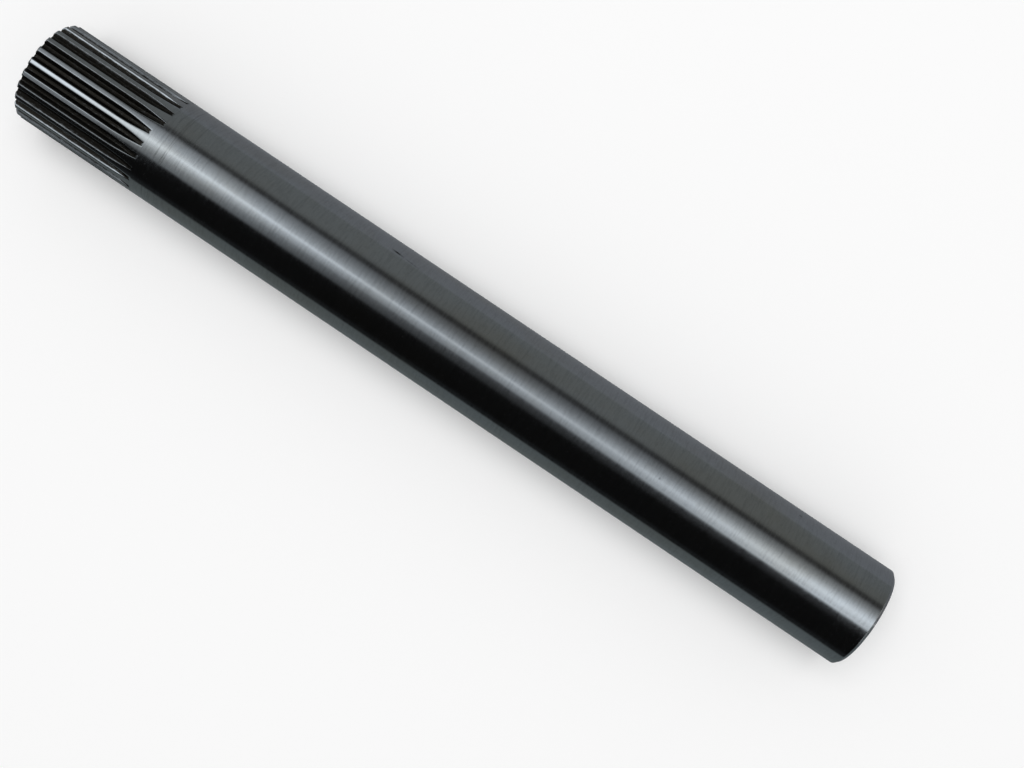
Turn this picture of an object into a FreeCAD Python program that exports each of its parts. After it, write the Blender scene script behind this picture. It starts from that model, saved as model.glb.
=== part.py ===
import FreeCAD, Part
import math
import os

os.makedirs("parts", exist_ok=True)

# Axle shaft, millimetres. The axis lies along X, the splined end face is at X = 0, Z is up.

# Shaft
SHAFT_DIAMETER = 50.0
SHAFT_LENGTH = 450.0
SPLINED_END_CHAMFER = 1.0
PLAIN_END_CHAMFER = 1.5

# Spline: involute teeth whose tops are flush with the shaft, so that the shaft's diameter is
# the module times one more than the tooth count; a small flat eases each root corner
SPLINE_TEETH = 24
PRESSURE_ANGLE = 30.0
TOOTH_DEPTH = 2.25
ROOT_CORNER_EASE = 0.25
FULL_DEPTH_LENGTH = 46.4

# Broken edge along each tooth: its depth, and its angle from the middle of the tooth space
EDGE_BREAK_DEPTH = 0.13
EDGE_BREAK_ANGLE = 65.0

# Run-out: the arc the cutter climbs at the end of each space, and its feed in one turn of the
# shaft, over which the ends of the spaces step along the shaft
CUTTER_RADIUS = 68.0
CUTTER_FEED = 3.2

# Centre holes in both ends, for turning and grinding between centres
CENTRE_MOUTH_DIAMETER = 10.6
CENTRE_PILOT_DIAMETER = 5.0
CENTRE_PILOT_LENGTH = 5.0
CENTRE_ANGLE = 60.0
DRILL_POINT_ANGLE = 120.0

# How far a cutting tool stands clear of the metal
TOOL_CLEARANCE = 1.5

X_AXIS = FreeCAD.Vector(1, 0, 0)
Y_AXIS = FreeCAD.Vector(0, 1, 0)
Z_AXIS = FreeCAD.Vector(0, 0, 1)
ORIGIN = FreeCAD.Vector(0, 0, 0)

shaft_radius = SHAFT_DIAMETER / 2
root_radius = shaft_radius - TOOTH_DEPTH
break_radius = shaft_radius - EDGE_BREAK_DEPTH
spline_module = SHAFT_DIAMETER / (SPLINE_TEETH + 1)
pitch_radius = spline_module * SPLINE_TEETH / 2
base_radius = pitch_radius * math.cos(math.radians(PRESSURE_ANGLE))
tooth_pitch_angle = 2 * math.pi / SPLINE_TEETH


def involute(angle):
    return math.tan(angle) - angle


def flank_point(radius, side):
    """A point on one flank of the space that opens towards +Z; side is -1 or 1, along Y."""
    rise = involute(math.acos(base_radius / radius)) - involute(math.radians(PRESSURE_ANGLE))
    angle = side * (tooth_pitch_angle / 4 + rise)
    return FreeCAD.Vector(0, radius * math.sin(angle), radius * math.cos(angle))


def space_side(side):
    """One side of a space, bottom to top: eased root corner, involute flank, broken edge."""
    bottom = flank_point(root_radius, side) + Y_AXIS * (-side * ROOT_CORNER_EASE)
    flank_start = flank_point(root_radius + ROOT_CORNER_EASE, side)
    flank_middle = flank_point((root_radius + break_radius) / 2, side)
    flank_top = flank_point(break_radius, side)
    climb = EDGE_BREAK_DEPTH + TOOL_CLEARANCE
    spread = side * climb * math.tan(math.radians(EDGE_BREAK_ANGLE))
    top = flank_top + FreeCAD.Vector(0, spread, climb)
    edges = [
        Part.makeLine(bottom, flank_start),
        Part.Arc(flank_start, flank_middle, flank_top).toShape(),
        Part.makeLine(flank_top, top),
    ]
    return bottom, edges, top


def space_section():
    """Section of one tooth space, square to the axis, at X = 0."""
    left_bottom, left_edges, left_top = space_side(-1)
    right_bottom, right_edges, right_top = space_side(1)
    closing = [Part.makeLine(left_bottom, right_bottom), Part.makeLine(left_top, right_top)]
    return Part.Face(Part.Wire(Part.sortEdges(left_edges + right_edges + closing)[0]))


def space_tool():
    """Tool for one space: a straight groove that climbs out of the shaft on the cutter's arc."""
    section = space_section()
    lead_in = X_AXIS * (TOOL_CLEARANCE + CUTTER_FEED)
    straight_end = X_AXIS * FULL_DEPTH_LENGTH
    straight = section.translated(lead_in * -1).extrude(lead_in + straight_end)
    climb = TOOTH_DEPTH + TOOL_CLEARANCE
    arc_angle = math.degrees(math.acos(1 - climb / CUTTER_RADIUS))
    cutter_centre = straight_end + Z_AXIS * (section.BoundBox.ZMin + CUTTER_RADIUS)
    run_out = section.translated(straight_end).revolve(cutter_centre, Y_AXIS, -arc_angle)
    return straight.fuse(run_out).removeSplitter()


def spline_tools():
    """One tool for each space, round the axis from beside the tooth that points along +Z."""
    tool = space_tool()
    tools = []
    for index in range(SPLINE_TEETH):
        placed = tool.translated(X_AXIS * (CUTTER_FEED * index / SPLINE_TEETH))
        placed.rotate(ORIGIN, X_AXIS, math.degrees(tooth_pitch_angle) * (index - 1 / 2))
        tools.append(placed)
    return tools


def centre_profile():
    """Half profile of a centre hole, from its mouth at X = 0 inwards to the axis."""
    mouth_radius = CENTRE_MOUTH_DIAMETER / 2
    pilot_radius = CENTRE_PILOT_DIAMETER / 2
    cone_depth = (mouth_radius - pilot_radius) / math.tan(math.radians(CENTRE_ANGLE / 2))
    pilot_depth = cone_depth + CENTRE_PILOT_LENGTH
    point_depth = pilot_depth + pilot_radius / math.tan(math.radians(DRILL_POINT_ANGLE / 2))
    return [(0, mouth_radius), (cone_depth, pilot_radius), (pilot_depth, pilot_radius), (point_depth, 0)]


def turned_blank():
    """The shaft before its spline is cut: one turned profile swept round the axis."""
    splined_centre = list(reversed(centre_profile()))
    plain_centre = [(SHAFT_LENGTH - x, r) for x, r in centre_profile()]
    outside = [
        (0, shaft_radius - SPLINED_END_CHAMFER),
        (SPLINED_END_CHAMFER, shaft_radius),
        (SHAFT_LENGTH - PLAIN_END_CHAMFER, shaft_radius),
        (SHAFT_LENGTH, shaft_radius - PLAIN_END_CHAMFER),
    ]
    points = [FreeCAD.Vector(x, 0, r) for x, r in splined_centre + outside + plain_centre]
    profile = Part.Face(Part.makePolygon(points + points[:1]))
    return profile.revolve(ORIGIN, X_AXIS, 360)


axle_shaft = turned_blank().cut(spline_tools()).Solids[0]
axle_shaft.exportStep("parts/axle_shaft.step")
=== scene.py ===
import math
from collections import namedtuple

import bpy
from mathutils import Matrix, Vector


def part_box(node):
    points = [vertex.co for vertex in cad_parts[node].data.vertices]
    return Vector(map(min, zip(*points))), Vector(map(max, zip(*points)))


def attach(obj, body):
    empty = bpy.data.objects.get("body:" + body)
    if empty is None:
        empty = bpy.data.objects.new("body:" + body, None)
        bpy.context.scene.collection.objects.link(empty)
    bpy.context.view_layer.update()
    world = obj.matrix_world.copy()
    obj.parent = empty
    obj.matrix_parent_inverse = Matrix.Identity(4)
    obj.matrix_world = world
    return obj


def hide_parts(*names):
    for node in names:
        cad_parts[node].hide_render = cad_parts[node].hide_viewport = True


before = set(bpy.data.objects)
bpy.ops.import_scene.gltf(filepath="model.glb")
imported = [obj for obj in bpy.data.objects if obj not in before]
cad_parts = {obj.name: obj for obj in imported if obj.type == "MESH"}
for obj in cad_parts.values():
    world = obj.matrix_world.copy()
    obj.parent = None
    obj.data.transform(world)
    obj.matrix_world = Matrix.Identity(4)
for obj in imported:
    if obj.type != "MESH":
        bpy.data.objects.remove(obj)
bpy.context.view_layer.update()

bl_info = {
    "name": "Axle shaft",
    "version": (1, 0, 0),
    "blender": (4, 5, 0),
    "location": "3D View > Sidebar > Axle shaft",
    "description": "Builds the splined axle shaft's surface, its ground steel finish and its studio",
    "category": "Object",
}

SHAFT_LOW, SHAFT_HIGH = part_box("axle_shaft")
MM = 0.001

# Both centre holes: the cone and the drill point below it, in degrees
CENTRE_ANGLE = 60
DRILL_POINT_ANGLE = 120

# Rings that the lathe left just past the run-outs: millimetres along, half width and depth
TURNED_RINGS = ((71.0, 0.6, 1.0), (74.2, 0.6, 1.0), (75.2, 0.4, 1.0), (82.2, 0.4, 0.6))

# Small nicks in the body: millimetres along and degrees round, half of each size, how many degrees
# each slants in a millimetre, and its depth
NICKS = ((184.0, -52.5, 3.6, 1.9, 0.2, 1.3), (191.5, -50.8, 5.5, 1.0, 0.2, 0.5),
         (399.0, -63.6, 1.1, 1.6, 0.0, 0.8), (336.4, -3.6, 0.8, 1.8, 0.0, 0.5))

# How much of the surface next to an end counts as the end face
END_FACE_SKIN = 0.02 * MM

# The floor reaches this far each way, and turns into the backdrop between the two distances
FLOOR_REACH = 6.0
FLOOR_ENDS = 0.9
BACKDROP_STARTS = 2.4

# The hood that the steel reflects: its two ends, its radius, and its degrees down from the top
HOOD_START = -0.6
HOOD_END = 1.05
HOOD_RADIUS = 0.35
HOOD_REACH = 94
HOOD_STEPS = 48

# The cards on the floor: inner and outer edge, and height above the floor
CARD_INNER = 0.002
CARD_OUTER = 0.36
CARD_HEIGHT = 0.5 * MM


class ShaftSizes(bpy.types.PropertyGroup):
    """The shaft's own sizes, the same ones that its solid is built from."""

    diameter: bpy.props.FloatProperty(
        name="Diameter", description="Over the plain body and the tooth tops",
        default=SHAFT_HIGH[1] - SHAFT_LOW[1], unit="LENGTH")
    length: bpy.props.FloatProperty(
        name="Length", description="From the splined end face to the plain one",
        default=SHAFT_HIGH[0] - SHAFT_LOW[0], unit="LENGTH")
    teeth: bpy.props.IntProperty(name="Teeth", description="Number of spline teeth", default=24)
    pressure_angle: bpy.props.FloatProperty(
        name="Pressure angle", description="Of the involute flanks",
        default=math.radians(30), subtype="ANGLE")
    tooth_depth: bpy.props.FloatProperty(
        name="Tooth depth", description="From the tooth tops to the bottom of a space",
        default=2.25 * MM, unit="LENGTH")
    full_depth_length: bpy.props.FloatProperty(
        name="Full depth length", description="How far a space runs before it starts to climb out",
        default=46.4 * MM, unit="LENGTH")
    cutter_radius: bpy.props.FloatProperty(
        name="Cutter radius", description="Radius of the run-out's arc", default=68 * MM, unit="LENGTH")
    cutter_feed: bpy.props.FloatProperty(
        name="Cutter feed", description="How far the ends of the spaces step in one turn",
        default=3.2 * MM, unit="LENGTH")
    edge_break: bpy.props.FloatProperty(
        name="Broken edge", description="How far the broken edge of a tooth reaches down its flank",
        default=0.13 * MM, unit="LENGTH")
    edge_angle: bpy.props.FloatProperty(
        name="Broken edge angle", description="Between the broken edge and the radial direction",
        default=math.radians(65), subtype="ANGLE")
    root_corner: bpy.props.FloatProperty(
        name="Root corner", description="How far the rounded root corner reaches each way",
        default=0.25 * MM, unit="LENGTH")
    splined_chamfer: bpy.props.FloatProperty(
        name="Splined end chamfer", description="At 45 degrees", default=1 * MM, unit="LENGTH")
    plain_chamfer: bpy.props.FloatProperty(
        name="Plain end chamfer", description="At 45 degrees", default=1.5 * MM, unit="LENGTH")
    centre_mouth: bpy.props.FloatProperty(
        name="Centre hole mouth", description="Diameter of the centre hole at the end face",
        default=10.6 * MM, unit="LENGTH")
    centre_pilot: bpy.props.FloatProperty(
        name="Centre hole pilot", description="Diameter of the hole below its 60 degree cone",
        default=5 * MM, unit="LENGTH")
    centre_pilot_length: bpy.props.FloatProperty(
        name="Pilot length", description="Length of the straight part of the centre hole",
        default=5 * MM, unit="LENGTH")


class SteelFinish(bpy.types.PropertyGroup):
    """Colours and gloss of the ground steel."""

    steel: bpy.props.FloatVectorProperty(
        name="Steel", description="Clean ground steel", subtype="COLOR", size=3, min=0, max=1,
        default=(0.50, 0.515, 0.53))
    oil_stain: bpy.props.FloatVectorProperty(
        name="Oil stain", description="Thin brownish film left by oil", subtype="COLOR", size=3,
        min=0, max=1, default=(0.44, 0.425, 0.385))
    # Painted shade: the darker colour of the flanks near the top
    flank_painted_shade: bpy.props.FloatVectorProperty(
        name="Film on the flanks", description="Dark film near the top of the tooth flanks",
        subtype="COLOR", size=3, min=0, max=1, default=(0.30, 0.305, 0.308))
    # Painted shade in the tooth spaces, together with old grime: the near black that the spaces turn to
    # with depth
    space_shade_and_grime: bpy.props.FloatVectorProperty(
        name="Dirt in the spaces", description="Old grease at the bottom of the tooth spaces",
        subtype="COLOR", size=3, min=0, max=1, default=(0.035, 0.031, 0.026))
    roughness: bpy.props.FloatProperty(
        name="Roughness", description="Of the ground body", default=0.15, min=0, max=1,
        subtype="FACTOR")
    grinding_bump: bpy.props.FloatProperty(
        name="Grinding marks", description="Depth of the fine marks that run round the shaft",
        default=0.002 * MM, unit="LENGTH", precision=6)


class Studio(bpy.types.PropertyGroup):
    """Camera, floor and light."""

    camera_place: bpy.props.FloatVectorProperty(
        name="Camera place", description="Above the shaft, as in the photograph", size=3,
        subtype="TRANSLATION", default=(0.28009, 0.01447, 0.65025))
    camera_turn: bpy.props.FloatVectorProperty(
        name="Camera turn", description="Euler angles of the camera", size=3, subtype="EULER",
        default=(math.radians(-0.0661), math.radians(2.3074), math.radians(33.8499)))
    camera_lens: bpy.props.FloatProperty(
        name="Lens", description="Focal length for a 36 mm wide picture", default=50.03,
        unit="CAMERA")
    floor_colour: bpy.props.FloatVectorProperty(
        name="Floor", description="Plain pale floor and backdrop", subtype="COLOR", size=3,
        min=0, max=1, default=(0.97, 0.97, 0.97))
    backdrop: bpy.props.FloatProperty(
        name="Backdrop", description="How white the backdrop is; 1 is pure white",
        default=0.955, min=0, max=1, subtype="FACTOR")
    room_light: bpy.props.FloatProperty(
        name="Room light", description="Strength of the white light from all round", default=0.5, min=0)
    lamp_place: bpy.props.FloatVectorProperty(
        name="Lamp place", description="Middle of the soft lamp overhead", size=3,
        subtype="TRANSLATION", default=(0.1, 0.3, 3.0))
    lamp_aim: bpy.props.FloatVectorProperty(
        name="Lamp aim", description="Where the lamp points, about the middle of the shaft", size=3,
        subtype="TRANSLATION", default=(0.22, 0, 0))
    lamp_size: bpy.props.FloatProperty(
        name="Lamp size", description="Length of each side of the lamp", default=2.4, unit="LENGTH")
    lamp_power: bpy.props.FloatProperty(
        name="Lamp power", description="Of the soft lamp", default=55, unit="POWER")


class Value:
    """A number socket of a shader tree, so that shader maths reads as plain expressions."""

    def __init__(self, nodes, socket):
        self.nodes = nodes
        self.socket = socket

    def __add__(self, other):
        return self.nodes.maths("ADD", self, other)

    __radd__ = __add__

    def __sub__(self, other):
        return self.nodes.maths("SUBTRACT", self, other)

    def __rsub__(self, other):
        return self.nodes.maths("SUBTRACT", other, self)

    def __mul__(self, other):
        return self.nodes.maths("MULTIPLY", self, other)

    __rmul__ = __mul__

    def __truediv__(self, other):
        return self.nodes.maths("DIVIDE", self, other)

    def __rtruediv__(self, other):
        return self.nodes.maths("DIVIDE", other, self)

    def __neg__(self):
        return self * -1

    def clamp(self):
        """Kept from 0 to 1."""
        return self.nodes.maths("MINIMUM", self.nodes.maths("MAXIMUM", self, 0), 1)

    def root(self):
        return self.nodes.maths("SQRT", self)

    def size(self):
        """Without its sign."""
        return self.nodes.maths("ABSOLUTE", self)

    def degrees_from(self, other):
        """The angle whose tangent is this over the other, in degrees."""
        return self.nodes.maths("ARCTAN2", self, other) * (180 / math.pi)

    def rise(self, low, high):
        """0 below low, 1 above high, a straight line between."""
        return ((self - low) / (high - low)).clamp()

    def bump_at(self, centre, half_width):
        """1 at the centre, falling to 0 at half a width away."""
        return (1 - (self - centre).size() / half_width).clamp()


class Nodes:
    """A shader tree: every node comes from add, which sets its settings and then its sockets."""

    def __init__(self, tree):
        self.tree = tree
        tree.nodes.clear()

    def add(self, kind, settings=None, sockets=None):
        node = self.tree.nodes.new(kind)
        for name, value in (settings or {}).items():
            if name == "stops":
                self._stops(node.color_ramp, value)
            else:
                setattr(node, name, value)
        items = sockets.items() if isinstance(sockets, dict) else enumerate(sockets or [])
        for key, value in items:
            if isinstance(value, Value):
                value = value.socket
            if isinstance(value, bpy.types.NodeSocket):
                self.tree.links.new(value, node.inputs[key])
            else:
                node.inputs[key].default_value = value
        return node

    def _stops(self, ramp, stops):
        while len(ramp.elements) < len(stops):
            ramp.elements.new(1)
        for element, (position, colour) in zip(ramp.elements, stops):
            element.position = position
            element.color = (*colour, 1)

    def value(self, kind, settings=None, sockets=None, output=0):
        return Value(self, self.add(kind, settings, sockets).outputs[output])

    def maths(self, operation, *terms):
        return self.value("ShaderNodeMath", {"operation": operation}, terms)

    def mask(self, name):
        """A mask that the mesh carries at its points."""
        return self.value("ShaderNodeAttribute", {"attribute_name": name}, None, "Fac")

    def point(self):
        """The surface point in the shaft's own frame: X, Y and Z in metres."""
        place = self.add("ShaderNodeTexCoord").outputs["Object"]
        parts = self.add("ShaderNodeSeparateXYZ", None, [place])
        return [Value(self, output) for output in parts.outputs]

    def vector(self, x, y, z):
        return self.add("ShaderNodeCombineXYZ", None, [x, y, z]).outputs[0]

    def noise(self, place, detail, roughness):
        """Noise from 0 to 1 about 0.5; the place is already in features."""
        return self.value("ShaderNodeTexNoise", {"noise_dimensions": "3D"},
                          {"Vector": place, "Scale": 1.0, "Detail": detail, "Roughness": roughness})

    def mix(self, factor, first, second):
        """Mixes two colours, sockets 6 and 7 of the node; each is a tuple or a colour socket."""
        node = self.add("ShaderNodeMix", {"data_type": "RGBA", "clamp_factor": True},
                        {0: factor, 6: self._colour(first), 7: self._colour(second)})
        return node.outputs[2]

    def _colour(self, colour):
        return colour if isinstance(colour, bpy.types.NodeSocket) else (*colour, 1)

    def graded(self, place, low, high, stops):
        """A colour for each place; the stops lie between low and high, in the place's own units."""
        span = high - low
        stops = [((at - low) / span, colour) for at, colour in stops]
        return self.add("ShaderNodeValToRGB", {"stops": stops}, [(place - low) / span]).outputs[0]

    def plus(self, first, second):
        """Two colours added."""
        return self.add("ShaderNodeVectorMath", {"operation": "ADD"}, [first, second]).outputs[0]

    def times(self, first, second):
        """Two colours multiplied."""
        return self.add("ShaderNodeVectorMath", {"operation": "MULTIPLY"}, [first, second]).outputs[0]

    def scaled(self, colour, scale):
        """A colour times a number."""
        node = self.add("ShaderNodeVectorMath", {"operation": "SCALE"}, {0: colour, "Scale": scale})
        return node.outputs[0]


def new_material(name):
    material = bpy.data.materials.new(name)
    material.use_nodes = True
    return material, Nodes(material.node_tree)


def steel_material(sizes, finish):
    """Ground steel: fine marks round the axis, faint turned rings, oil film, and tooth spaces darkened
    by painted shade with grime.
    """
    material, nodes = new_material("ground_steel")
    x, y, z = nodes.point()
    turn = (-y).degrees_from(z)
    cut = nodes.mask("cut_surface")
    deep = nodes.mask("space_depth")
    end_face = x.rise(END_FACE_SKIN, 0) + x.rise(sizes.length - END_FACE_SKIN, sizes.length)

    # Marks follow the axis along the body, and the radius, 1.7 times as close, on the end faces
    run = x + (y * y + z * z).root() * 1.7
    to_the_radius = 1 / (sizes.diameter / 2)

    def marks(along, around, detail):
        """Rings of noise about 0: so many to the metre, each with so many breaks to the radius."""
        around = around * to_the_radius
        return nodes.noise(nodes.vector(run * along, y * around, z * around), detail, 0.5) - 0.5

    def patches(along, across, detail, roughness):
        """Patches of noise about 0, so many to the metre along the shaft and across it."""
        return nodes.noise(nodes.vector(x * along, y * across, z * across), detail, roughness) - 0.5

    fine = marks(1000, 2.5, 2) * 0.9 + marks(1500, 9, 1) * 0.45 + marks(1100, 20, 1) * 0.3
    cloud = patches(45, 1.5 * to_the_radius, 4, 0.6)
    drift = patches(9, 1.2 * to_the_radius, 2, 0.5)
    mottle = patches(230, 190, 2, 0.55)
    grit = patches(420, 1300, 2, 0.6)

    # The turned rings waver a little and are deepest a few degrees from the top
    wavering = x + marks(150, 3, 1) * (1.2 * MM)
    rings = sum(wavering.bump_at(along * MM, half * MM) * depth for along, half, depth in TURNED_RINGS)
    rings = rings * cloud.rise(-0.12, 0.04) * (0.35 + turn.bump_at(8, 9) * 1.1)
    nicks = 0
    for along, angle, half_length, half_width, slant, depth in NICKS:
        slanted = turn - (x - along * MM) * (slant / MM)
        lengthwise = x.bump_at(along * MM, half_length * MM)
        nicks += lengthwise * slanted.bump_at(angle, half_width) * depth

    # The flanks get painted light the further they lie from the top, in two steps, and painted shade
    # near the top
    painted_flank_light = turn.size().rise(34, 54)
    painted_flank_light_far = turn.size().rise(64, 70)
    # Painted shade with grime: darker the deeper in the spaces, and by steps less dark on flanks
    # further from the top
    shade_and_grime = (deep.rise(0.08, 0.42) * (1 - painted_flank_light) + deep.rise(0.34, 0.56) * (painted_flank_light - painted_flank_light_far)
            + deep.rise(0.38, 0.85) * painted_flank_light_far)

    stain = (drift.rise(-0.02, 0.16) * 0.5 + cloud.rise(0, 0.25) * 0.3).clamp()
    shade = (0.97 + fine * (0.4 + end_face * 0.5) + mottle * 0.08 - rings * 0.36 - nicks * 0.85).clamp()
    body = nodes.scaled(nodes.mix(stain, finish.steel, finish.oil_stain), shade)
    # Flanks near the top take the painted shade colour; those further round take the steel's own colour
    # as painted light
    film = nodes.mix(painted_flank_light, finish.flank_painted_shade, finish.steel)
    # How far the cut surface turns to the near black of the spaces: painted shade with grime, broken up
    # by noise
    painted_shade_and_grime = (shade_and_grime * 1.1 + cloud * 0.2 + grit * 1.3).clamp()
    flank = nodes.mix(painted_shade_and_grime, film, finish.space_shade_and_grime)
    colour = nodes.mix(cut, body, flank)
    rough = (finish.roughness + fine * 0.10 + cloud * 0.07 + rings * 0.12 + nicks * 0.3
             + cut * (0.03 + shade_and_grime * 0.3) + end_face * 0.12).clamp()
    height = fine * (1 - cut * 0.6 + end_face * 2) - rings * 2.5 - nicks * 6
    normal = nodes.add("ShaderNodeBump", None,
                       {"Strength": 1.0, "Distance": finish.grinding_bump, "Height": height}).outputs[0]
    shader = nodes.add("ShaderNodeBsdfPrincipled", None,
                       {"Base Color": colour, "Metallic": 1.0, "Roughness": rough, "Normal": normal})
    nodes.add("ShaderNodeOutputMaterial", None, {"Surface": shader.outputs[0]})
    return material


def involute(angle):
    return math.tan(angle) - angle


def soft_min(first, second, blend):
    """The lower of two heights, with a rounded corner where they are within a blend of each other."""
    near = max(blend - abs(first - second), 0) / blend
    return min(first, second) - near * near * blend / 4


def between(low, high, steps, last=False):
    """Equal steps from low to high; high itself is left out unless last is set."""
    count = steps + 1 if last else steps
    return [low + (high - low) * step / steps for step in range(count)]


def ease(value, low, high):
    """0 below low, 1 above high, smooth between."""
    part = min(max((value - low) / (high - low), 0), 1)
    return part * part * (3 - 2 * part)


# One point of a section: angle from the middle of the space, radius, how far it is cut metal, and
# how deep it lies in the space, both from 0 to 1
Column = namedtuple("Column", "angle radius cut deep")


class SpaceShape:
    """Half a tooth space as columns of points, and how it climbs out on the cutter's arc."""

    # Points on each stretch, from the middle of the space to the middle of the tooth
    FLOOR_STEPS = 2
    CORNER_STEPS = 3
    FLANK_STEPS = 4
    EDGE_STEPS = 8
    LAND_STEPS = 3

    # How far the root corner's round reaches, in corner sizes, and the smallest round
    CORNER_REACH = 1.4
    SMALLEST_ROUND = MM / 1000

    # The share of a flank that the broken edge always leaves, and that of it which the corner may take
    FLANK_SHARE = 0.4

    # The floor counts as deep this far down, and a flank as deepest at this depth
    DEEP_FLOOR = 0.4 * MM
    DEEPEST_FLANK = 2 * MM

    # The part of the broken edge over which bright land turns into cut flank
    CUT_SHARE = 0.6

    # The search for a flank point reaches out to this many shaft radii, and is halved this often
    SEARCH_TOP = 1.1
    SEARCH_HALVINGS = 30

    def __init__(self, sizes):
        self.sizes = sizes
        self.outer = sizes.diameter / 2
        self.root = self.outer - sizes.tooth_depth
        self.half_pitch = math.pi / sizes.teeth
        pitch_radius = self.outer * sizes.teeth / (sizes.teeth + 1)
        self.base = pitch_radius * math.cos(sizes.pressure_angle)
        self.floor_width, self.floor = self.flank(self.root)
        self.soft_corner = sizes.edge_break / 2
        lean = math.tan(math.acos(self.base / self.outer))
        across = sizes.edge_break * math.tan(sizes.edge_angle)
        self.edge_slope = sizes.edge_break * lean / across
        self.edge_reach = across / lean - sizes.edge_break
        self.tip = self.find_tip()

    def flank(self, radius):
        """Across and up of the flank point at this radius, for a space that opens upwards."""
        rise = involute(math.acos(self.base / radius)) - involute(self.sizes.pressure_angle)
        angle = self.half_pitch / 2 + rise
        return radius * math.sin(angle), radius * math.cos(angle)

    def find_tip(self):
        """How far past the full depth the bottom of a space meets the shaft's surface."""
        reach = self.sizes.cutter_radius
        rim = math.sqrt(self.outer ** 2 - self.floor_width ** 2)
        return math.sqrt(reach ** 2 - (self.floor + reach - rim) ** 2)

    def lifted(self, across, height, past):
        """Angle and radius of a section point, this far past the end of the full depth."""
        if past > 0:
            reach = self.sizes.cutter_radius - (height - self.floor)
            height = self.floor + self.sizes.cutter_radius - math.sqrt(reach ** 2 - past ** 2)
        return math.atan2(across, height), math.hypot(across, height)

    def flank_radius_for(self, wanted, past):
        """Flank radius in the section whose lifted point lies at the wanted radius, by halving."""
        low, high = self.root, self.outer * self.SEARCH_TOP
        for _ in range(self.SEARCH_HALVINGS):
            middle = (low + high) / 2
            if self.lifted(*self.flank(middle), past)[1] < wanted:
                low = middle
            else:
                high = middle
        return low

    def columns(self, past, outer):
        """Columns of the section this far past the full depth; outer is the shaft's radius there."""
        corner_reach = self.sizes.root_corner * self.CORNER_REACH
        depth = max(outer - self.lifted(self.floor_width, self.floor, past)[1], 0)
        corner_blend = max(min(corner_reach, depth / 2), self.SMALLEST_ROUND)
        flank_height = self.flank_radius_for(outer, past) - self.root
        edge_low = max(self.flank_radius_for(outer - self.sizes.edge_break - self.soft_corner, past),
                       self.root + flank_height * self.FLANK_SHARE)
        edge_high = self.flank_radius_for(outer + self.edge_reach + self.soft_corner, past)
        corner = min(corner_reach, (edge_low - self.root) * self.FLANK_SHARE)
        points = []
        for across in between(0, self.floor_width, self.FLOOR_STEPS):
            angle, radius = self.lifted(across, self.floor, past)
            points.append(Column(angle, *self.joined(radius, None, outer, corner_blend)))
        walk = (between(self.root, self.root + corner, self.CORNER_STEPS)
                + between(self.root + corner, edge_low, self.FLANK_STEPS)
                + between(edge_low, edge_high, self.EDGE_STEPS, last=True))
        for flank_radius in walk:
            angle, radius = self.lifted(*self.flank(flank_radius), past)
            floor = self.lifted(math.tan(angle) * self.floor, self.floor, past)[1]
            points.append(Column(angle, *self.joined(floor, radius, outer, corner_blend)))
        for angle in between(points[-1].angle, self.half_pitch, self.LAND_STEPS, last=True)[1:]:
            points.append(Column(angle, outer, 0.0, 0.0))
        return points

    def joined(self, floor, flank, outer, corner_blend):
        """Radius where floor, flank and shaft surface meet, how cut it is there, and how deep."""
        result = soft_min(floor, outer, self.soft_corner)
        cut = ease(outer - floor, 0, self.soft_corner)
        deep = ease(outer - floor, self.soft_corner, self.DEEP_FLOOR)
        if flank is not None:
            edge = outer + (flank - outer - self.edge_reach) * self.edge_slope
            side = soft_min(soft_min(flank, edge, self.soft_corner), outer, self.soft_corner)
            result = -soft_min(-result, -side, corner_blend)
            below = outer + self.edge_reach - flank
            cut = min(cut, ease(below, 0, self.edge_reach * self.CUT_SHARE))
            deepest = min(self.DEEPEST_FLANK, max(outer - floor, self.soft_corner) + self.edge_reach)
            deep = min(max(below / deepest, 0), 1) * cut
        return min(result, outer), cut, deep


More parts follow.
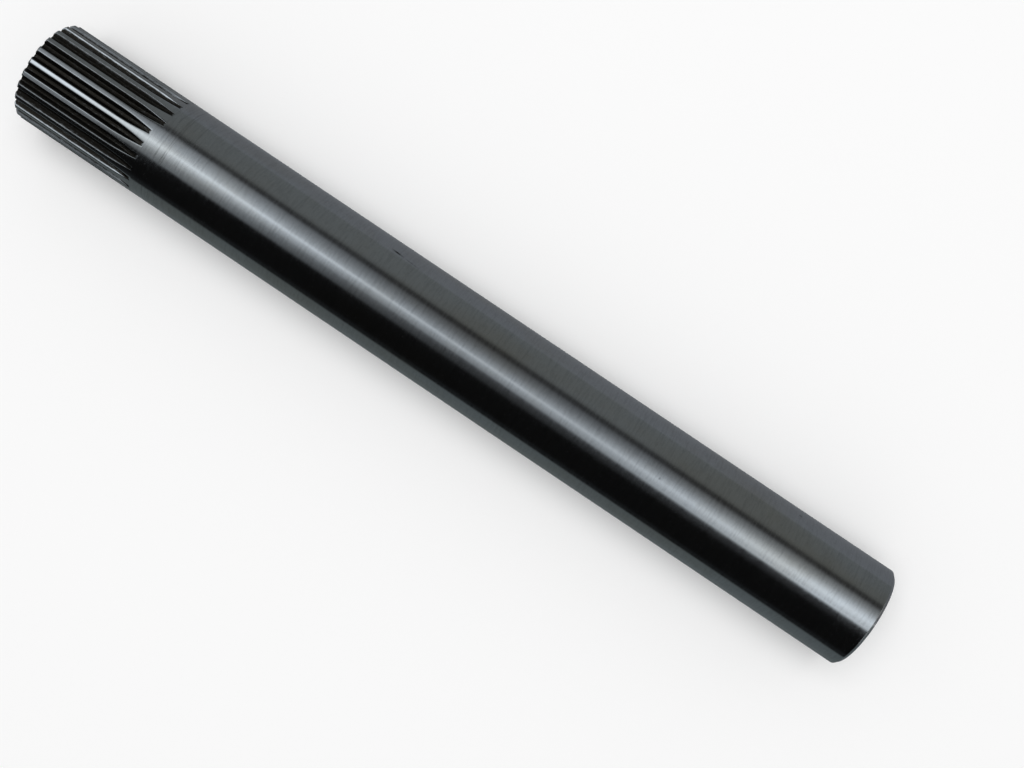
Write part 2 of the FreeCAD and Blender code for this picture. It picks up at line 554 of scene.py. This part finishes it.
class ShaftMesh:
    """The whole shaft as rings of points, from one centre hole round the outside to the other."""

    # Rounding of the chamfers' corners, and of the drill point against the pilot's radius
    CHAMFER_ROUND = 0.12 * MM
    POINT_SHARE = 0.02

    # Rings on an end face: millimetres out, and how evenly the splined one's points are spread
    FACE_RINGS = ((12, 0.7), (20, 0.2))

    # Rings on the splined end's chamfer and just behind it, in chamfer sizes, and along the teeth
    CHAMFER_RINGS = (0, 0.3, 0.6, 0.86, 0.93, 1.0, 1.07, 1.14, 2, 3)
    TEETH_RINGS = 6

    # The feed's step comes in along the teeth up to here
    FULL_STEP = 35 * MM

    # Rings in the run-outs, and then millimetres from the tips of the spaces, closest at the tips
    RUN_OUT_RINGS = 24
    TIP_RINGS = (-1, -0.75, -0.55, -0.4, -0.28, -0.19, -0.11, -0.04, 0.03, 0.1, 0.19, 0.3, 0.6, 1.2)

    # Millimetres past the tips of the rings over which the points become even and the step goes
    FADING_RINGS = (3, 6, 9, 13, 18, 25)
    EVEN_BETWEEN = (1, 18)
    STEP_GOES_BETWEEN = (5, 25)

    # The plain body's rings: how far past the tips they start, how many steps, and how far they stay
    # from the chamfer
    BODY_START = 40 * MM
    BODY_RINGS = 9
    BODY_END_GAP = 1 * MM

    def __init__(self, sizes):
        self.sizes = sizes
        self.shape = SpaceShape(sizes)
        self.outer = sizes.diameter / 2
        self.vertices = []
        self.masks = {"cut_surface": [], "space_depth": []}
        self.rings = []

    def surface(self, station):
        """Radius of the turned surface at this station, both end chamfers included."""
        splined = self.outer - self.sizes.splined_chamfer + station
        plain = self.outer - self.sizes.plain_chamfer + (self.sizes.length - station)
        return soft_min(soft_min(splined, self.outer, self.CHAMFER_ROUND), plain, self.CHAMFER_ROUND)

    def add_ring(self, columns, station, shifted=0.0):
        """One ring from the columns of half a space; shifted is how much of the feed step it takes."""
        teeth = self.sizes.teeth
        pitch = 2 * math.pi / teeth
        ring = []
        for space in range(teeth):
            middle = pitch * (space - 0.5)
            shift = self.sizes.cutter_feed * space / teeth * shifted
            before = self.sizes.cutter_feed * ((space - 1) % teeth) / teeth * shifted
            mirrored = [column._replace(angle=-column.angle) for column in reversed(columns[1:])]
            for index, column in enumerate(mirrored + columns[:-1]):
                step = (shift + before) / 2 if index == 0 else shift
                turn = middle + column.angle
                ring.append(len(self.vertices))
                self.vertices.append((station + step, -column.radius * math.sin(turn),
                                      column.radius * math.cos(turn)))
                self.masks["cut_surface"].append(column.cut)
                self.masks["space_depth"].append(column.deep)
        self.rings.append(ring)

    def spread(self, columns, part, radius):
        """Columns on a plain circle, this part of the way from their own angles to equal steps."""
        count = len(columns) - 1
        result = []
        for index, column in enumerate(columns):
            even = self.shape.half_pitch * index / count
            result.append(Column(column.angle + (even - column.angle) * part, radius, 0.0, 0.0))
        return result

    def centre_hole(self, face, inwards):
        """Stations and radii of a centre hole, from point to mouth; inwards is 1 or -1 along X."""
        mouth = self.sizes.centre_mouth / 2
        pilot = self.sizes.centre_pilot / 2
        cone = (mouth - pilot) / math.tan(math.radians(CENTRE_ANGLE / 2))
        bottom = cone + self.sizes.centre_pilot_length
        point = bottom + pilot / math.tan(math.radians(DRILL_POINT_ANGLE / 2))
        return [(face + inwards * point, pilot * self.POINT_SHARE), (face + inwards * bottom, pilot),
                (face + inwards * cone, pilot), (face, mouth)]

    def build(self):
        """Vertices and faces of the shaft, from the splined end to the plain end."""
        self.add_splined_end()
        self.add_run_out()
        last = self.shape.columns(self.shape.tip + self.TIP_RINGS[-1] * MM, self.outer)
        self.add_body(last)
        self.add_plain_end(last)
        return self.vertices, self.faces()

    def add_splined_end(self):
        """Centre hole, end face, chamfer and the teeth at full depth."""
        chamfer = self.sizes.splined_chamfer
        end = self.shape.columns(0, self.surface(0))
        for station, radius in self.centre_hole(0, 1):
            self.add_ring(self.spread(end, 1, radius), station)
        for radius, part in self.FACE_RINGS:
            self.add_ring(self.spread(end, part, radius * MM), 0)
        stations = [chamfer * size for size in self.CHAMFER_RINGS]
        teeth_start = stations[-1]
        stations += between(teeth_start, self.sizes.full_depth_length, self.TEETH_RINGS)[1:]
        for station in stations:
            columns = self.shape.columns(0, self.surface(station))
            self.add_ring(columns, station, ease(station, teeth_start, self.FULL_STEP))

    def add_run_out(self):
        """The spaces climbing out, past their tips."""
        tip = self.shape.tip
        pasts = between(0, tip + self.TIP_RINGS[0] * MM, self.RUN_OUT_RINGS)
        pasts += [tip + step * MM for step in self.TIP_RINGS]
        for past in pasts:
            self.add_ring(self.shape.columns(past, self.outer), self.sizes.full_depth_length + past, 1)

    def add_body(self, last):
        """The plain body, whose points even out from the last columns of the run-out."""
        tips = self.sizes.full_depth_length + self.shape.tip
        for step in self.FADING_RINGS:
            columns = self.spread(last, ease(step, *self.EVEN_BETWEEN), self.outer)
            self.add_ring(columns, tips + step * MM, 1 - ease(step, *self.STEP_GOES_BETWEEN))
        end = self.sizes.length - self.sizes.plain_chamfer - self.BODY_END_GAP
        for station in between(tips + self.BODY_START, end, self.BODY_RINGS, last=True):
            self.add_ring(self.spread(last, 1, self.outer), station)

    def add_plain_end(self, last):
        """Chamfer, end face and centre hole of the plain end."""
        length = self.sizes.length
        corner = length - self.sizes.plain_chamfer
        stations = between(corner - self.CHAMFER_ROUND, corner + self.CHAMFER_ROUND, 4, last=True)
        for station in stations + [length]:
            self.add_ring(self.spread(last, 1, self.surface(station)), station)
        for radius, _ in reversed(self.FACE_RINGS):
            self.add_ring(self.spread(last, 1, radius * MM), length)
        for station, radius in reversed(self.centre_hole(length, -1)):
            self.add_ring(self.spread(last, 1, radius), station)

    def faces(self):
        """A disc at each end and a strip of squares between each ring and the next."""
        faces = [tuple(self.rings[0]), tuple(reversed(self.rings[-1]))]
        for here, there in zip(self.rings, self.rings[1:]):
            for index in range(len(here)):
                after = (index + 1) % len(here)
                faces.append((here[index], there[index], there[after], here[after]))
        return faces


def new_object(name, vertices, faces, material):
    mesh = bpy.data.meshes.new(name)
    mesh.from_pydata(vertices, [], faces)
    mesh.materials.append(material)
    made = bpy.data.objects.new(name, mesh)
    bpy.context.scene.collection.objects.link(made)
    return made


class AXLE_OT_build_shaft(bpy.types.Operator):
    """Builds the splined shaft's surface and gives it its ground steel"""

    bl_idname = "axle.build_shaft"
    bl_label = "Build shaft"

    def execute(self, context):
        sizes = context.scene.axle_sizes
        finish = context.scene.axle_finish
        made = ShaftMesh(sizes)
        shaft = new_object("ground_shaft", *made.build(), steel_material(sizes, finish))
        for name, values in made.masks.items():
            mask = shaft.data.attributes.new(name, "FLOAT", "POINT")
            mask.data.foreach_set("value", values)
        shaft.data.shade_smooth()
        shaft.data.set_sharp_from_angle(angle=math.radians(40))
        if shaft.data.validate():
            raise RuntimeError("the shaft's mesh has broken faces")
        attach(shaft, "root")
        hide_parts("axle_shaft")
        return {"FINISHED"}


def looking(nodes):
    """1 for the rays that show the backdrop, 0 for those that only carry light."""
    rays = nodes.add("ShaderNodeLightPath").outputs
    names = ("Is Camera Ray", "Is Glossy Ray", "Is Transmission Ray")
    return sum(Value(nodes, rays[name]) for name in names).clamp()


def floor_material(studio):
    """A pale floor that turns into the backdrop's even white far from the shaft."""
    material, nodes = new_material("pale_floor")
    x, y, _ = nodes.point()
    far = (x * x + y * y).root().rise(FLOOR_ENDS, BACKDROP_STARTS)
    floor = nodes.add("ShaderNodeBsdfPrincipled", None,
                      {"Base Color": (*studio.floor_colour, 1), "Roughness": 0.9,
                       "Specular IOR Level": 0.2})
    backdrop = nodes.add("ShaderNodeEmission", None,
                         {"Color": (*grey(studio.backdrop), 1), "Strength": 1.0})
    both = nodes.add("ShaderNodeMixShader", None,
                     [far * looking(nodes), floor.outputs[0], backdrop.outputs[0]])
    nodes.add("ShaderNodeOutputMaterial", None, {"Surface": both.outputs[0]})
    return material


def card_material(name, paint):
    """A lit card; paint gives its colour at each place."""
    material, nodes = new_material(name)
    shader = nodes.add("ShaderNodeEmission", None, {"Color": paint(nodes), "Strength": 1.0})
    nodes.add("ShaderNodeOutputMaterial", None, {"Surface": shader.outputs[0]})
    return material


def grey(level):
    return (level, level, level)


def tinted(level):
    """Slightly cool daylight of this strength."""
    return (level * 0.925, level, level * 1.055)


def hood_paint(nodes):
    """Lit cloth overhead, a thin tube lamp, a dim wall to one side and black cloth to the other."""
    x, y, z = nodes.point()
    angle = (-y).degrees_from(z)

    def round_the_hood(stops):
        """Colours by degrees from the top, from -100 to 100, positive towards -Y."""
        return nodes.graded(angle, -100, 100, stops)

    def light(round_levels, along_levels, strength):
        """A light: its levels by degrees from the top, times its levels by metres along."""
        around = round_the_hood([(at, tinted(level)) for at, level in round_levels])
        along = nodes.graded(x, HOOD_START, HOOD_END, [(at, grey(level)) for at, level in along_levels])
        return nodes.scaled(nodes.times(around, along), strength)

    wall = round_the_hood((
        (-100, (0.158, 0.172, 0.175)), (-52, (0.155, 0.166, 0.165)), (-46, (0.135, 0.142, 0.14)),
        (-41, (0.049, 0.051, 0.051)), (-33, (0.037, 0.037, 0.039)), (-20, (0.032, 0.032, 0.034)),
        (14, (0.02, 0.02, 0.021)), (33, (0.007, 0.007, 0.007)), (40, (0.006, 0.006, 0.006)),
        (86, (0.006, 0.006, 0.006)), (92, (0.018, 0.02, 0.022))))
    near_light = light(
        ((-35, 0), (-30, 0.19), (-20, 0.34), (-12, 0.51), (-6, 0.68), (-1.5, 1.0), (2, 0.86), (8, 0.55),
         (16, 0.33), (23, 0.22), (29, 0.17), (34, 0)),
        ((-0.12, 1.06), (0.015, 0.74), (0.055, 0.55), (0.13, 0.31), (0.20, 0.15), (0.31, 0.09),
         (0.5, 0.055)), 1.5)
    far_light = light(
        ((-35, 0), (-29, 0.15), (-19, 0.34), (-10, 0.68), (-4, 0.92), (0, 0.98), (6, 0.80),
         (12.5, 0.62), (15.5, 0)),
        ((-0.12, 0.05), (0.015, 0.05), (0.13, 0.20), (0.20, 0.32), (0.31, 0.47), (0.5, 1.06)), 1.07)
    far_edge = light(
        ((11, 0), (13.5, 0.5), (16, 0.5), (17.8, 0)),
        ((0.27, 0), (0.37, 0.45), (0.5, 1.1)), 1.0)
    spline_light = light(
        ((-42, 0), (-39, 0.3), (-35, 0.3), (-31, 0.05), (-28, 0), (28, 0), (31, 0.12), (36, 0.2),
         (41, 0.4), (45, 0.4), (49, 0)),
        ((-0.09, 1.0), (-0.065, 0)), 1.0)
    tube = light(
        ((-5, 0), (-1.4, 1), (2.2, 0)),
        ((-0.05, 0), (0.015, 0.6), (0.13, 1.15), (0.25, 0.95), (0.31, 0.5), (0.45, 0)), 0.32)
    total = wall
    for each in (near_light, far_light, far_edge, spline_light, tube):
        total = nodes.plus(total, each)
    return total


def near_card_paint(nodes):
    """Dim grey next to the shaft and black further out."""
    return nodes.graded(nodes.point()[1].size(), 0, CARD_OUTER, (
        (0, (0.138, 0.158, 0.163)), (0.09, (0.128, 0.148, 0.153)), (0.18, (0.12, 0.14, 0.145)),
        (0.2196, (0.01, 0.01, 0.01)), (CARD_OUTER, (0.005, 0.005, 0.005))))


def far_card_paint(nodes):
    """Dim grey, a little paler further out."""
    return nodes.graded(nodes.point()[1].size(), 0, CARD_OUTER, (
        (0, (0.18, 0.19, 0.205)), (CARD_OUTER, (0.20, 0.215, 0.23))))


def show_only_in_the_steel(card):
    """Only reflections show the card, and it neither lights nor shades anything else."""
    card.visible_camera = False
    card.visible_diffuse = False
    card.visible_shadow = False
    card.visible_transmission = False
    card.visible_volume_scatter = False


class AXLE_OT_build_studio(bpy.types.Operator):
    """Sets up the camera, the pale floor, the soft light and the cards that the steel reflects"""

    bl_idname = "axle.build_studio"
    bl_label = "Build studio"

    def execute(self, context):
        studio = context.scene.axle_studio
        floor_height = SHAFT_LOW[2]
        corners = [(x * FLOOR_REACH, y * FLOOR_REACH, floor_height)
                   for x, y in ((-1, -1), (1, -1), (1, 1), (-1, 1))]
        floor = new_object("pale_floor", corners, [(0, 1, 2, 3)], floor_material(studio))
        self.light_room(context.scene, studio)
        self.hang_lamp(context.scene, studio)
        self.hang_hood()
        self.lay_cards(floor_height + CARD_HEIGHT)
        self.place_camera(context.scene, studio)
        context.scene.view_settings.view_transform = "Standard"
        return {"FINISHED"}

    def light_room(self, scene, studio):
        """A white world that lights softly and looks as white as the backdrop."""
        world = bpy.data.worlds.new("soft_studio")
        world.use_nodes = True
        nodes = Nodes(world.node_tree)
        strength = looking(nodes) * (studio.backdrop - studio.room_light) + studio.room_light
        background = nodes.add("ShaderNodeBackground", None,
                               {"Color": (1, 1, 1, 1), "Strength": strength})
        nodes.add("ShaderNodeOutputWorld", None, {"Surface": background.outputs[0]})
        world.cycles.sampling_method = "NONE"
        scene.world = world

    def hang_lamp(self, scene, studio):
        """A wide soft lamp overhead, which the steel doesn't reflect."""
        lamp = bpy.data.lights.new("soft_lamp", "AREA")
        lamp.shape = "RECTANGLE"
        lamp.size = studio.lamp_size
        lamp.size_y = studio.lamp_size
        lamp.energy = studio.lamp_power
        hung = bpy.data.objects.new("soft_lamp", lamp)
        hung.location = studio.lamp_place
        towards = Vector(studio.lamp_aim) - hung.location
        hung.rotation_euler = towards.to_track_quat("-Z", "Y").to_euler()
        hung.visible_glossy = False
        scene.collection.objects.link(hung)

    def hang_hood(self):
        """A long half-round hood over the shaft."""
        points = []
        for station in (HOOD_START, HOOD_END):
            for degrees in between(-HOOD_REACH, HOOD_REACH, HOOD_STEPS, last=True):
                angle = math.radians(degrees)
                points.append((station, -HOOD_RADIUS * math.sin(angle), HOOD_RADIUS * math.cos(angle)))
        row = HOOD_STEPS + 1
        faces = [(step, step + 1, row + step + 1, row + step) for step in range(HOOD_STEPS)]
        cloth = card_material("hood_cloth", hood_paint)
        show_only_in_the_steel(new_object("light_hood", points, faces, cloth))

    def lay_cards(self, height):
        """Grey cards on the floor, one on each side of the shaft."""
        for name, side, paint in (("near_card", -1, near_card_paint), ("far_card", 1, far_card_paint)):
            inner = side * CARD_INNER
            outer = side * CARD_OUTER
            points = [(HOOD_START, inner, height), (HOOD_END, inner, height),
                      (HOOD_END, outer, height), (HOOD_START, outer, height)]
            show_only_in_the_steel(new_object(name, points, [(0, 1, 2, 3)], card_material(name, paint)))

    def place_camera(self, scene, studio):
        camera = bpy.data.cameras.new("camera")
        camera.sensor_width = 36
        camera.lens = studio.camera_lens
        camera.clip_start = 0.01
        placed = bpy.data.objects.new("camera", camera)
        placed.location = studio.camera_place
        placed.rotation_euler = studio.camera_turn
        scene.collection.objects.link(placed)
        scene.camera = placed


class AXLE_PT_panel(bpy.types.Panel):
    """Lists the sizes, the finish and the studio, with a button for each builder"""

    bl_label = "Axle shaft"
    bl_idname = "AXLE_PT_panel"
    bl_space_type = "VIEW_3D"
    bl_region_type = "UI"
    bl_category = "Axle shaft"

    def draw(self, context):
        for group, operator in ((context.scene.axle_sizes, AXLE_OT_build_shaft),
                                (context.scene.axle_finish, None),
                                (context.scene.axle_studio, AXLE_OT_build_studio)):
            column = self.layout.column()
            for name in group.__annotations__:
                column.prop(group, name)
            if operator is not None:
                column.operator(operator.bl_idname)


CLASSES = (ShaftSizes, SteelFinish, Studio, AXLE_OT_build_shaft, AXLE_OT_build_studio, AXLE_PT_panel)


def register():
    for each in CLASSES:
        bpy.utils.register_class(each)
    bpy.types.Scene.axle_sizes = bpy.props.PointerProperty(type=ShaftSizes)
    bpy.types.Scene.axle_finish = bpy.props.PointerProperty(type=SteelFinish)
    bpy.types.Scene.axle_studio = bpy.props.PointerProperty(type=Studio)


def unregister():
    del bpy.types.Scene.axle_sizes
    del bpy.types.Scene.axle_finish
    del bpy.types.Scene.axle_studio
    for each in reversed(CLASSES):
        bpy.utils.unregister_class(each)


def main():
    register()
    bpy.ops.axle.build_shaft()
    bpy.ops.axle.build_studio()
    bpy.context.view_layer.update()


if __name__ == "__main__":
    main()
